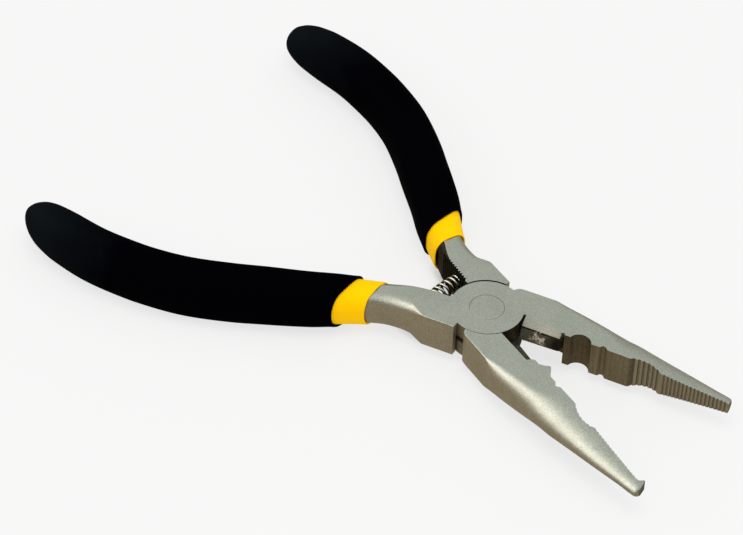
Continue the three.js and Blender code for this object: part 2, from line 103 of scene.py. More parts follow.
def catmull_rom(points, per_span=60):
    """Centripetal Catmull-Rom through the points, sampled finely."""
    padded = np.vstack([2 * points[0] - points[1], points, 2 * points[-1] - points[-2]])
    out = []
    for i in range(1, len(padded) - 2):
        before, start, end, after = near = padded[i - 1:i + 3]
        gap0, gap1, gap2 = np.linalg.norm(np.diff(near, axis=0), axis=1) ** 0.5
        slope0 = ((start - before) / gap0 - (end - before) / (gap0 + gap1)
                  + (end - start) / gap1) * gap1
        slope1 = ((end - start) / gap1 - (after - start) / (gap1 + gap2)
                  + (after - end) / gap2) * gap1
        for t in np.linspace(0, 1, per_span, endpoint=False):
            out.append(hermite(t, start, end, slope0, slope1))
    out.append(points[-1])
    return np.array(out)


def lengths_along(points):
    steps = np.linalg.norm(np.diff(points, axis=0), axis=1)
    return np.concatenate([[0], np.cumsum(steps)])


def unit_tangents(points):
    tangents = np.gradient(points, axis=0)
    return tangents / np.linalg.norm(tangents, axis=1)[:, None]


# ---------------------------------------------------------------- mesh helpers
def mesh_of(name, verts, faces):
    mesh = bpy.data.meshes.new(name)
    mesh.from_pydata([tuple(v) for v in verts], [], faces)
    mesh.update()
    bm = bmesh.new()
    bm.from_mesh(mesh)
    bmesh.ops.remove_doubles(bm, verts=bm.verts, dist=1e-5)
    bmesh.ops.recalc_face_normals(bm, faces=bm.faces)
    if bm.calc_volume(signed=True) < 0:
        bmesh.ops.reverse_faces(bm, faces=bm.faces)
    bm.to_mesh(mesh)
    bm.free()
    obj = bpy.data.objects.new(name, mesh)
    bpy.context.scene.collection.objects.link(obj)
    return obj


def skin(name, rings):
    """Closed body through rings of points, capped at both ends."""
    n = len(rings[0])
    last = (len(rings) - 1) * n
    faces = []
    for start in range(0, last, n):
        for k in range(n):
            a, b = start + k, start + (k + 1) % n
            faces.append((a, b, b + n, a + n))
    faces.append(tuple(range(n))[::-1])
    faces.append(tuple(range(last, last + n)))
    return mesh_of(name, [point for ring in rings for point in ring], faces)


def prism(name, outline, bottom, top):
    n = len(outline)
    verts = [(x, y, z) for z in (bottom, top) for x, y in outline]
    faces = [tuple(range(n))[::-1], tuple(range(n, 2 * n))]
    faces += [(i, (i + 1) % n, n + (i + 1) % n, n + i) for i in range(n)]
    obj = mesh_of(name, verts, faces)
    bm = bmesh.new()
    bm.from_mesh(obj.data)
    bmesh.ops.triangulate(bm, faces=[f for f in bm.faces if len(f.verts) > 4])
    bm.to_mesh(obj.data)
    bm.free()
    return obj


def lathe(name, profile, n):
    """Body of revolution about Z; the (radius, z) profile starts and ends on the axis."""
    verts, faces, rows = [], [], []
    for radius, z in profile:
        count = 1 if radius == 0 else n
        rows.append(range(len(verts), len(verts) + count))
        verts += [(radius * cos(2 * pi * k / n), radius * sin(2 * pi * k / n), z)
                  for k in range(count)]
    for row, following in zip(rows, rows[1:]):
        for k in range(n):
            j = (k + 1) % n
            if len(row) == 1:
                faces.append((row[0], following[k], following[j]))
            elif len(following) == 1:
                faces.append((row[k], following[0], row[j]))
            else:
                faces.append((row[k], following[k], following[j], row[j]))
    return mesh_of(name, verts, faces)


def combine(body, tool, operation):
    """Boolean of body with tool; the tool is used up."""
    modifier = body.modifiers.new("b", "BOOLEAN")
    modifier.operation = operation
    modifier.object = tool
    modifier.solver = "MANIFOLD"
    bpy.context.view_layer.update()
    depsgraph = bpy.context.evaluated_depsgraph_get()
    mesh = bpy.data.meshes.new_from_object(body.evaluated_get(depsgraph))
    old = body.data
    body.modifiers.clear()
    body.data = mesh
    bpy.data.meshes.remove(old)
    if not mesh.polygons:
        raise RuntimeError(f"{operation} of {body.name} with {tool.name} came out empty")
    bpy.data.objects.remove(tool)
    return body


def dress(obj, matrix, material, angle, mark=None):
    """Clean a body, mark its faces, move it to the object's frame in metres and shade it."""
    mesh = obj.data
    bm = bmesh.new()
    bm.from_mesh(mesh)
    bmesh.ops.remove_doubles(bm, verts=bm.verts, dist=0.004)
    bmesh.ops.dissolve_degenerate(bm, edges=bm.edges, dist=0.003)
    bm.normal_update()
    bm.to_mesh(mesh)
    bm.free()
    if mark:
        marks = [mark(face.center, face.normal) for face in mesh.polygons]
        for field in Marks._fields:
            attribute = mesh.attributes.new(field, "FLOAT", "FACE")
            attribute.data.foreach_set("value", [getattr(m, field) for m in marks])
    mesh.transform(matrix)
    mesh.transform(Matrix.Scale(MM, 4))
    mesh.polygons.foreach_set("use_smooth", [True] * len(mesh.polygons))
    mesh.set_sharp_from_angle(angle=radians(angle))
    mesh.update()
    mesh.materials.clear()
    mesh.materials.append(material)
    return obj


# ------------------------------------------- per-face values the steel reads, 0 to 1
# film of grime and painted shade, pale-brown cut face, cutting bevel, black soot and painted
# shade, wall beside the lap plane
Marks = namedtuple("Marks", "grime inner bevel soot lap", defaults=(0.0,) * 5)


def jaw_marks(lower):
    """The rule that marks the faces of a half by their place; on faces in gaps, recesses and
    between the parts its grime and soot marks are painted shade.
    """
    to_jaw = turn(0 if lower else -JAW_SET, 3)

    def mark(centre, normal):
        radius = hypot(centre.x, centre.y)
        jaw, facing = to_jaw @ centre, to_jaw @ normal
        upright = abs(normal.z) < 0.3
        if radius < 3.85 and abs(normal.z) < 0.98:                 # rivet bore
            return Marks(grime=0.9)
        # grime and painted shade on the lap plane, between the halves
        if abs(centre.z - LAP_GAP) < 0.06 and abs(normal.z) > 0.9:  # lap plane, blade's flat
            return Marks(grime=0.9 if jaw.x > 7.6 else 1.0, soot=0.3)
        if upright and abs(radius - BOSS_R) < 0.12 and centre.z > 0:   # wall of the boss
            # grime and painted shade on the boss wall in the crotch between the jaws
            if jaw.x > 2.5:                                        # between the jaws
                return Marks(grime=0.95, soot=0.62, lap=1.0)
            return Marks(grime=0.5, lap=1.0)
        # grime and painted shade in the gap round the other boss
        if (upright and abs(radius - BOSS_R - BOSS_CLEAR) < 0.4 and centre.z < LAP_GAP + 0.05
                and normal.x * centre.x + normal.y * centre.y < 0):
            return Marks(grime=1.0, soot=0.8, lap=1.0)             # round the other boss
        # grime and painted shade in the spring's socket
        if (hypot(centre.x - SEAT_X, centre.z) < SEAT_R + 0.03 and -3.3 < centre.y < -0.2
                and (abs(normal.y) < 0.9 or centre.y < -2.0)):     # spring seat
            return Marks(grime=1.0, soot=0.8)
        if 7.5 < jaw.x < 17.25 and facing.y < -0.2 and abs(facing.z) < 0.9:
            # grime and painted shade in the recess for the other blade
            if jaw.z <= LAP_GAP - 0.02:                            # recess for the other blade
                return Marks(grime=0.8, soot=0.4)
            if jaw.z > 3.2 and facing.z > 0.4:                     # upper facet of the bevel
                return Marks(grime=0.26, soot=0.34)
            return Marks(grime=0.55, bevel=1.0, soot=0.10)         # lower facet, to the edge
        if 7.3 < jaw.x < 8.1 and abs(facing.x) > 0.7 and jaw.y < 3.3:   # heel of the blade
            return Marks(grime=0.85)
        if 15.8 < jaw.x < 17.6 and jaw.z > 0 and facing.x > 0.4 and jaw.y < 0.9:   # its toe
            return Marks(grime=0.95, soot=0.85)
        if -21.5 < centre.x < -8 and normal.y > 0.25 and centre.y > -3.4:
            # the shank's face towards the other shank, with grime and painted shade between
            # the shanks
            return Marks(grime=1.0, soot=0.8) if lower else Marks(grime=0.5)
        if jaw.x > 16.9 and abs(facing.z) < 0.5 and (facing.y < -0.2 or jaw.y < 1.2):
            if jaw.x < 23.2:                                       # crimp nest, indenter
                return Marks(grime=0.4 if lower else 0.62, inner=1.0)
            if jaw.x < 31.2:
                return Marks(grime=0.25, inner=0.8)
            if facing.x > 0.35:                                    # dirt on flanks to the tip
                return Marks(grime=0.56, inner=0.24, soot=0.22)
            return Marks(grime=0.06, inner=0.24)                   # rest of the teeth
        return Marks()

    return mark


# -------------------------------------------------------------------- the jaws
# station along the jaw; y of the back; y where the flat side ends and the fillet starts
BACK_X = [2.0, 2.8, 3.5, 4.6, 8.0, 11.5, 13.0, 14.6, 17.0, 20.0, 22.5,
          25.0, 27.0, 29.0, 31.0, 34.0, 38.0, 42.3, 46.6, 50.0, 52.5, 53.4]
BACK_Y = [6.2, 7.3, 8.0, 8.22, 8.3, 8.45, 8.62, 8.75, 8.65, 8.25, 7.9,
          7.55, 7.32, 7.05, 6.8, 6.25, 5.45, 4.6, 3.65, 2.92, 2.45, 2.2]
FLAT_Y = [6.0, 7.0, 7.85, 8.1, 8.16, 8.15, 7.5, 6.95, 6.3, 5.55, 4.8,
          3.8, 2.4, 1.2, 0.8, 0.6, 0.4, 0.3, 0.2, 0.1, 0.1, 0.1]
# station along the jaw; half thickness
THICK_X = [0, 29, 31, 33.3, 38, 42.3, 46.6, 49.8, 52.9, 53.4]
THICK_Z = [HALF_T, HALF_T, 4.0, 3.6, 2.9, 2.35, 1.92, 1.6, 1.4, 1.3]
STRETCH_X = 50                                  # the upper jaw is shortened beyond this
FILLET_STEPS = 18


def jaw_ring(station, lower):
    """Section of the jaw; the lower jaw's end is cut aslant, and both points are rounded."""
    x = station
    if x >= STRETCH_X and not lower:
        x = STRETCH_X + ((station - STRETCH_X) * (UPPER_LENGTH - STRETCH_X)
                         / (JAW_LENGTH - STRETCH_X))
    slant = min(1.0, max(0.0, station - 52.4)) if lower else 0.0
    half_z = read_table(THICK_X, THICK_Z, station)
    flat = read_table(BACK_X, FLAT_Y, station)
    back = read_table(BACK_X, BACK_Y, station) - 0.2 * slant
    point_start, point_length, fall = (52.8, 0.6, 0.6) if lower else (53.0, 0.4, 0.40)
    rounding = max(0.0, (station - point_start) / point_length)
    if rounding > 0:
        shrink = sqrt(max(0.0, 1 - fall * rounding * rounding))
        back = flat + (back - flat) * shrink
        half_z *= 0.7 + 0.3 * shrink
    depth = back - flat
    radius = min(depth, half_z)
    # 0 is a round fillet with a flat back, 1 a full ellipse
    ellipse = min(1.0, max(0.0, (depth - 1.2) / 3.0)) if depth < half_z else 1.0
    ring = [(x, -1.6, -half_z), (x, -1.6, half_z)]
    for side in (1, -1):                        # fillet down to the back, then away from it
        for j in range(FILLET_STEPS + 1):
            share = j / FILLET_STEPS
            angle = pi / 2 * (1 - share if side > 0 else share)
            z = ((half_z - radius + radius * sin(angle)) * (1 - ellipse)
                 + half_z * sin(angle) * ellipse)
            if side < 0 and j == 0 and ellipse > 0.999:
                z = 0.02                        # kept apart from the upper fillet's last point
            ring.append((x, flat + depth * cos(angle), side * z))
    return [(x + slant * (TIP_SLANT * y - 0.05), y, z) for x, y, z in ring]


def jaw_body(lower):
    stations = np.unique(np.concatenate([
        np.linspace(2, 50, 97), np.linspace(50, 52.4, 9), np.linspace(52.4, 53.4, 9)]))
    body = skin("jaw", [jaw_ring(float(station), lower) for station in stations])
    face = INDENT_FACE if lower else NEST_FACE
    plan = face + [(JAW_LENGTH + 3, 12), (1, 12)]
    return combine(body, prism("plan", plan, -BEYOND, BEYOND), "INTERSECT")


def teeth(start, end, count, depth, base):
    pitch = (end - start) / count
    out = []
    for i in range(count):
        for share, rise in ((0.26, 0), (0.46, 0.96), (0.56, 0.96), (0.76, 0)):
            x = start + (i + share) * pitch
            out.append((x, base(x) + depth * rise))
    return out


def bowl(start, end, y, depth):
    return lambda x: y + depth * sin(pi * (x - start) / (end - start)) ** 0.8


def level(y):
    return lambda x: y


def nest_arc():
    centre_x, centre_y, radius, steps = 20.65, -0.62, 2.34, 24
    angles = [radians(163 - 146 * i / steps) for i in range(steps + 1)]
    points = [(centre_x + radius * cos(a), centre_y + radius * sin(a)) for a in angles]
    return [point for point in points if point[1] > 0.05]


# (x, y) of the gripping face of each jaw, from the pivot to past the tip
NEST_FACE = (
    [(1, RECESS_Y), (BLADE_END, RECESS_Y), (BLADE_END + 0.1, 0.02), (18.38, 0.02)]
    + nest_arc()
    + [(22.92, 0.06), (24.72, 0.1), (24.9, 0.3), (25.08, 0.58), (25.3, 0.7), (25.6, 0.72),
       (25.86, 0.6), (26.1, 0.34), (26.3, 0.12), (26.5, 0.0), (31.3, 0.0)]
    + teeth(31.5, 37.7, count=6, depth=0.22, base=bowl(31.3, 37.9, y=0.05, depth=1.0))
    + [(37.9, 0.0), (38.3, 0.0)]
    + teeth(38.4, 52.3, count=17, depth=0.17, base=level(0))
    + [(52.45, 0.0), (JAW_LENGTH + 3, 0.0)])
INDENT_FACE = (
    [(1, RECESS_Y), (16.4, RECESS_Y), (16.5, 1.5), (16.7, 0.8), (17.2, 0.28), (17.35, 0.2),
     (18.65, 0.2), (19.55, -0.5), (20.1, -1.18), (20.28, -1.33), (20.5, -1.38),
     (20.75, -1.3), (21.6, -0.56), (22.7, 0.2), (24.4, 0.2), (24.62, 0.4), (24.85, 0.66),
     (25.05, 0.8), (25.25, 0.84), (25.5, 0.72), (25.75, 0.52), (26.1, 0.22), (31.2, 0.22)]
    + teeth(31.4, 37.3, count=6, depth=0.2, base=bowl(31.2, 37.6, y=0.25, depth=0.85))
    + [(37.6, 0.12), (38.0, 0.12)]
    + teeth(38.1, 51.7, count=16, depth=0.15, base=level(0.12))
    + [(51.95, 0.12), (52.2, -0.05), (52.38, -0.45), (52.5, -0.72), (52.6, -0.92),
       (52.68, -1.0), (52.76, -1.03), (JAW_LENGTH + 3, -1.06)])

# x along the blade; y of the edge on each jaw, of the bevel's crease and of its top
BLADE_X = [BLADE_START, 10.0, 13.4, 15.8, BLADE_END - 0.6, BLADE_END, BLADE_END + 0.45]
LOWER_EDGE = [-2.0, -1.96, -1.73, -1.6, -1.5, 0.32, 0.6]
UPPER_EDGE = [-1.5, -1.43, -1.3, -1.2, -1.15, 0.32, 0.6]
CREASE_Y = [-0.5, -0.5, -0.5, -0.5, -0.45, 0.38, 0.65]
BEVEL_TOP = [1.45, 1.35, 1.05, 0.5, 0.35, 0.45, 0.7]
CREASE_Z, BLADE_ROOT = 2.94, 3.2

# (x, y) of the deeper recess in the upper jaw
DEEP_RECESS = [(7.6, -2), (BLADE_END, -2), (BLADE_END, 2.5), (15.5, 2.85), (9.5, 2.85),
               (7.6, 2.6)]


def blade(lower):
    edges = LOWER_EDGE if lower else UPPER_EDGE
    return skin("blade", [
        [(x, edge, LAP_GAP), (x, edge, LAP_GAP + 0.12), (x, crease, CREASE_Z),
         (x, top, HALF_T), (x, BLADE_ROOT, HALF_T), (x, BLADE_ROOT, LAP_GAP)]
        for x, edge, crease, top in zip(BLADE_X, edges, CREASE_Y, BEVEL_TOP)])


# ------------------------------------------------------------------ the shanks
# (x, y) of the handle's centre line, from the waist to the tail
HANDLE_LINE = np.array([
    (-14, -4.05), (-16, -4.2), (-18.5, -4.5), (-21, -4.95), (-23.54, -5.75),
    (-29.74, -8.15), (-35.03, -10.49), (-44.08, -13.79), (-49.95, -15.9),
    (-59.34, -18.46), (-67.13, -19.34), (-72.11, -19.4), (-80.48, -18.78),
    (-88.46, -17.02), (-93.51, -15.75), (-97.0, -14.8), (-100.0, -13.95)], float)
WAIST_X = HANDLE_LINE[0, 0]
CURVE = catmull_rom(HANDLE_LINE)
CURVE_AT = lengths_along(CURVE)
CURVE_DIRECTION = unit_tangents(CURVE)


def handle_at(along):
    """Centre and outward normal of the handle line; runs straight on past its ends."""
    centre = np.array([np.interp(along, CURVE_AT, CURVE[:, i]) for i in (0, 1)])
    direction = np.array([np.interp(along, CURVE_AT, CURVE_DIRECTION[:, i]) for i in (0, 1)])
    direction /= hypot(*direction)
    centre += direction * (min(along, 0.0) + max(along - CURVE_AT[-1], 0.0))
    return centre, np.array([-direction[1], direction[0]])


# distance back from the waist; half widths outward and inward; half height; corner radii
SHANK_AT = [0, 1.5, 3.5, 5.2, 7, 9.5, 13, 18, 26, 38, 56, 72, 80, 82.6, 83.5]
SHANK_COLUMNS = (
    [3.22, 3.12, 2.98, 2.92, 2.92, 2.98, 3.1, 3.2, 3.3, 3.3, 3.2, 3.1, 3.0, 2.6, 1.6],
    [3.36, 3.28, 3.1, 3.0, 2.94, 2.98, 3.1, 3.2, 3.3, 3.3, 3.2, 3.1, 3.0, 2.6, 1.6],
    [HALF_T] * 8 + [4.0, 4.0, 4.0, 3.9, 3.6, 2.9, 1.9],
    [0.35, 0.5, 0.9, 1.4, 1.8, 1.9, 1.9, 2, 2, 2, 2, 2, 2, 2, 1.4],           # inner corners
    [1.75, 2.1, 2.2, 2.2, 2.1, 2.0, 2.0, 2, 2, 2, 2, 2, 2, 2, 1.4])           # outer corners
# ahead of the waist: distance (negative); y of outer and inner face; corner radii
BLOCK_AT = [-10.3, -3.3, -2, -1, 0]
BLOCK_COLUMNS = (
    [-8.15, -8.15, -7.8, -7.5, -7.27],
    [-0.4, -0.44, -0.48, -0.56, -0.69],
    [0.14, 0.14, 0.2, 0.28, 0.35],                                           # inner corners
    [0.14, 0.16, 0.8, 1.4, 1.75])                                            # outer corners
CORNER_STEPS = 8


def shank_ring(centre, normal, out_width, in_width, half_z, in_radius, out_radius):
    ring = []
    for side, up, radius, start in ((1, 1, out_radius, 0), (-1, 1, in_radius, 90),
                                    (-1, -1, in_radius, 180), (1, -1, out_radius, 270)):
        width = out_width if side > 0 else in_width
        radius = min(radius, width - 0.02, half_z - 0.02)
        for j in range(CORNER_STEPS + 1):
            angle = radians(start + 90 * j / CORNER_STEPS)
            across = side * (width - radius) + radius * cos(angle)
            ring.append((*(centre + normal * across),
                         up * (half_z - radius) + radius * sin(angle)))
    return ring


def block_ring(along):
    """Section ahead of the waist, placed by its two faces."""
    outer, inner, in_radius, out_radius = (
        float(np.interp(along, BLOCK_AT, column)) for column in BLOCK_COLUMNS)
    blend = max(0.0, 1 - abs(along))            # swings to the handle's normal over 1 mm
    normal = np.array([0.0, -1.0]) * (1 - blend) + handle_at(0.0)[1] * blend
    normal /= np.linalg.norm(normal)
    centre = np.array([WAIST_X - along, (outer + inner) / 2])
    width = (inner - outer) / 2
    return shank_ring(centre, normal, width, width, HALF_T, in_radius, out_radius)


def shank(name):
    alongs = np.unique(np.concatenate([
        [BLOCK_AT[0], -7.0, -5.0, -3.7], np.linspace(-3.3, 13, 60), np.linspace(13, 80, 45),
        np.linspace(80, 83.5, 10)]))
    rings = []
    for along in alongs:
        if along < 0:
            rings.append(block_ring(along))
        else:
            sizes = [read_table(SHANK_AT, column, along) for column in SHANK_COLUMNS]
            rings.append(shank_ring(*handle_at(along), *sizes))
    # the end under the boss is cut a little aslant
    rings[0] = [(x + (y - BLOCK_COLUMNS[0][0]) * 0.16 - 0.1, y, z) for x, y, z in rings[0]]
    return skin(name, rings)


def serrations():
    """Cutter for the notches along the inner face of the lower shank."""
    count, start, end = 12, -18.1, -8.9
    pitch = (end - start) / count
    outline = [(-18.4, 3), (-18.4, -1.3)]
    for i in range(count):
        root = start + i * pitch
        y = -1.32 + (root - start) * 0.055
        outline += [(root + share * pitch, y + rise) for share, rise in
                    ((0.12, 0.06), (0.46, -0.28), (0.54, -0.28), (0.88, 0.1))]
    outline += [(-8.7, -0.3), (-8.7, 3)]
    return prism("serr", outline, -BEYOND, BEYOND)


def boss_clearance(lower):
    radius = BOSS_R + BOSS_CLEAR
    cutter = lathe("clear", [(0, -BEYOND), (radius, -BEYOND), (radius, LAP_GAP),
                             (0, LAP_GAP)], 192)
    if lower:                                   # this pocket sits a little towards the shank
        cutter.data.transform(Matrix.Translation((-0.06, -0.08, 0)))
    return cutter


def boss():
    edge = 0.03
    return lathe("boss", [(0, LAP_GAP), (BOSS_R, LAP_GAP), (BOSS_R, HALF_T - edge),
                          (BOSS_R - edge, HALF_T), (0, HALF_T)], 192)


def rivet_bore():
    bore, sink = 2.70, HEAD_R + RIVET_GAP
    return lathe("bore", [(0, -BEYOND), (bore, -BEYOND), (bore, 2.35), (sink, 3.22),
                          (sink, BEYOND), (0, BEYOND)], 160)


def spring_seat():
    floor, top = -SEAT_DEPTH - 0.5, 2
    cutter = lathe("seat", [(0, floor), (SEAT_R - 0.3, floor), (SEAT_R, floor + 0.3),
                            (SEAT_R, top), (0, top)], 64)
    cutter.data.transform(Matrix.Translation((SEAT_X, 0, 0))
                          @ Matrix.Rotation(radians(-90), 4, "X"))
    return cutter


def half(name, lower):
    body = shank(name)
    if lower:
        combine(body, serrations(), "DIFFERENCE")
    jaw = combine(jaw_body(lower), blade(lower), "UNION")
    if not lower:
        combine(jaw, prism("deep", DEEP_RECESS, -BEYOND, LAP_GAP), "DIFFERENCE")
        jaw.data.transform(turn(JAW_SET))
    combine(body, jaw, "UNION")
    # clearance for the other half's boss comes before this half's own boss
    combine(body, boss_clearance(lower), "DIFFERENCE")
    combine(body, boss(), "UNION")
    combine(body, rivet_bore(), "DIFFERENCE")
    return combine(body, spring_seat(), "DIFFERENCE")


# ------------------------------------------------------------------- the grips
OVER_THICKNESS, COAT_GAP = 0.42, 0.1
UNDER_END, OVER_END = 86.9, 88.1
# distance back from the waist; overcoat's half widths outward and inward; its half height
COAT_AT = [5.0, 8.0, 10.0, 13, 16.5, 22, 32, 38, 48, 56, 61, 69, 77, 82.0, 85.0, 86.8, 87.6,
           OVER_END]
COAT_COLUMNS = (
    [4.15, 4.28, 4.42, 4.72, 4.98, 5.18, 5.3, 5.3, 5.2, 5.12, 5.13, 5.1, 4.9, 4.2, 3.25,
     2.3, 1.7, 1.0],
    [4.15, 4.28, 4.42, 4.72, 4.98, 5.18, 5.3, 5.3, 5.2, 5.12, 5.13, 5.1, 5.0, 4.85, 4.4,
     3.8, 3.2, 2.3],
    [4.9, 4.9, 4.93, 5.02, 5.22, 5.6, 6.05, 6.2, 6.3, 6.25, 6.22, 6.12, 5.93, 5.3, 4.4,
     3.35, 2.75, 1.95])
# tail end, wall and height of the bead round the lip
LAYERS = {"under": (UNDER_END, 0.34, 0.03), "over": (OVER_END, 0.40, 0.05)}
# place of the mouth, its slant and its bow, across the handle
MOUTHS = {("upper", "under"): (8.3, 2.0, 0.15), ("upper", "over"): (13.8, 3.1, 0.5),
          ("lower", "under"): (6.9, 0.9, 0.4), ("lower", "over"): (12.7, 2.9, 1.0)}
COAT_SIDES = 96
LIP_STEPS = 10
BODY_START = 1.6                                # from the lip, where the bead has faded out


def superellipse(value, along):
    """A sine or cosine bent to the squareness of the grip's section at a place."""
    power = float(np.interp(along, [6, 12, 24, 80], [2.8, 2.6, 2.4, 2.3]))
    return copysign(abs(value) ** (2 / power), value)


def coat_size(layer, along):
    """Half widths outward and inward, and half height."""
    if layer == "over":
        return [read_table(COAT_AT, column, along) for column in COAT_COLUMNS]
    ahead = float(np.interp(along, [80, UNDER_END], [0, 1.0]))
    outward, inward, half_z = (read_table(COAT_AT, column, along + ahead)
                               - OVER_THICKNESS - COAT_GAP for column in COAT_COLUMNS)
    if along < 13:
        limit = float(np.interp(along, [5, 8, 10, 13], [3.72, 3.82, 3.95, 4.2]))
        outward, inward = min(outward, limit), min(inward, limit)
    return outward, inward, half_z


def coat(name, side, layer):
    """A dipped coat: inner skin out to the mouth, rolled lip, outer skin, rounded tail."""
    mouth, slant, bow = MOUTHS[side, layer]
    end, wall, bead = LAYERS[layer]
    angles = [2 * pi * k / COAT_SIDES for k in range(COAT_SIDES)]
    lip = []
    for angle in angles:
        across = superellipse(cos(angle), mouth)
        # the dip line wanders a little, as a meniscus does
        wander = 0.05 * sin(3 * angle + 0.7) + 0.03 * sin(7 * angle + 2.0)
        lip.append(mouth + slant * across + bow * across * across + wander)
    lip = np.array(lip)

    def ring(alongs, inset=0.0, squeeze=1.0):
        out = []
        for angle, along in zip(angles, alongs):
            centre, normal = handle_at(along)
            outward, inward, half_z = coat_size(layer, min(along, end))
            width = outward if cos(angle) > 0 else inward
            across = superellipse(cos(angle), along) * max(width - inset, 0.05) * squeeze
            z = superellipse(sin(angle), along) * max(half_z - inset, 0.05) * squeeze
            out.append((*(centre + normal * across), z))
        return out

    rings = [ring(lip + offset, wall) for offset in (6.0, 3.0, 1.5, 0.8, 0.45)]
    # the lip is a full round, a little proud of the skin
    radius = wall / 2
    for j in range(LIP_STEPS + 1):
        angle = pi * j / LIP_STEPS
        rings.append(ring(lip + radius - radius * sin(angle) * 1.25,
                          wall - radius * (1 - cos(angle)) * (1 + bead / wall)))
    rings.append(ring(lip + 0.55, -bead * 0.9))
    rings.append(ring(lip + 0.95, -bead * 0.45))
    start = lip + BODY_START
    rings.append(ring(start))
    for t in np.concatenate([np.linspace(0.02, 0.86, 90), np.linspace(0.866, 1.0, 40)]):
        rings.append(ring(start + (end - start) * t))
    for squeeze in (0.96, 0.86, 0.7, 0.5, 0.3, 0.12):
        tail = end + 0.25 * sqrt(1 - squeeze * squeeze)
        rings.append(ring([tail] * COAT_SIDES, squeeze=squeeze))
    return skin(name, rings)


# ---------------------------------------------------------------- small pieces
def rivet():
    edge, neck = 0.04, 2.58
    top_half = [(neck, 2.37), (HEAD_R, 3.27), (HEAD_R, HALF_T - edge),
                (HEAD_R - edge, HALF_T), (0, HALF_T)]
    bottom_half = [(radius, -z) for radius, z in reversed(top_half)]
    return lathe("rivet_steel_piece", bottom_half + top_half, 160)


COIL_R, WIRE_R = 1.50, 0.31
COIL_STEPS, WIRE_SIDES = 38, 14                 # steps a turn, points round the wire
SEAT_MOUTH = 0.5                                # the seat opens this far from the jaw's axis


def spring():
    """Coil whose axis bows from one seat to the other, as a Bezier curve."""
    def on_seat_axis(degrees, side, depth):
        cosine, sine = cos(radians(degrees)), sin(radians(degrees))
        y = side * (-SEAT_MOUTH - depth)
        return np.array([cosine * SEAT_X - sine * y, sine * SEAT_X + cosine * y, 0.0])

    deep = SEAT_DEPTH - WIRE_R - 0.12
    reach = 4                                   # from the ends of the axis to its controls
    upper, lower = (JAW_OPEN - JAW_SET, 1), (-JAW_OPEN, -1)
    start, start_pull = on_seat_axis(*upper, deep), on_seat_axis(*upper, deep - reach)
    end_pull, end = on_seat_axis(*lower, deep - reach), on_seat_axis(*lower, deep)

    def axis_at(w):
        w = np.asarray(w)[..., None]
        return ((1 - w) ** 3 * start + 3 * (1 - w) ** 2 * w * start_pull
                + 3 * (1 - w) * w * w * end_pull + w ** 3 * end)

    # the pitch along the axis: dead turns in the seats, closer turns beside the upper half
    shares = np.linspace(0, 1, 1201)
    along = lengths_along(axis_at(shares))
    whole = along[-1]
    pitch = np.interp(along, [0, 1.2, 2.4, 4.6, 6.2, whole - 2.2, whole - 1.2, whole],
                      [0.65, 0.66, 1.0, 1.15, 1.32, 1.32, 0.66, 0.65])
    turn_steps = (1 / pitch[1:] + 1 / pitch[:-1]) / 2 * np.diff(along)
    turns = np.concatenate([[0], np.cumsum(turn_steps)])
    steps = int(turns[-1] * COIL_STEPS)
    centres = []
    for i in range(steps + 1):
        turned = turns[-1] * i / steps
        w = float(np.interp(turned, turns, shares))
        heading = (3 * (1 - w) ** 2 * (start_pull - start)
                   + 6 * (1 - w) * w * (end_pull - start_pull)
                   + 3 * w * w * (end - end_pull))
        heading /= np.linalg.norm(heading)
        side = np.array([-heading[1], heading[0], 0.0])
        angle = 2 * pi * turned
        centres.append(axis_at(w) + side * COIL_R * cos(angle)
                       + np.array([0, 0, COIL_R * sin(angle)]))
    # carry the wire's section along without twist
    tangents = unit_tangents(np.array(centres))
    normal = np.cross(tangents[0], [0, 0, 1.0])
    angles = [2 * pi * k / WIRE_SIDES for k in range(WIRE_SIDES)]
    rings = []
    for centre, tangent in zip(centres, tangents):
        normal = normal - tangent * (normal @ tangent)
        normal /= np.linalg.norm(normal)
        across = np.cross(tangent, normal)
        rings.append([centre + WIRE_R * (normal * cos(a) + across * sin(a)) for a in angles])
    return skin("return_coil", rings)


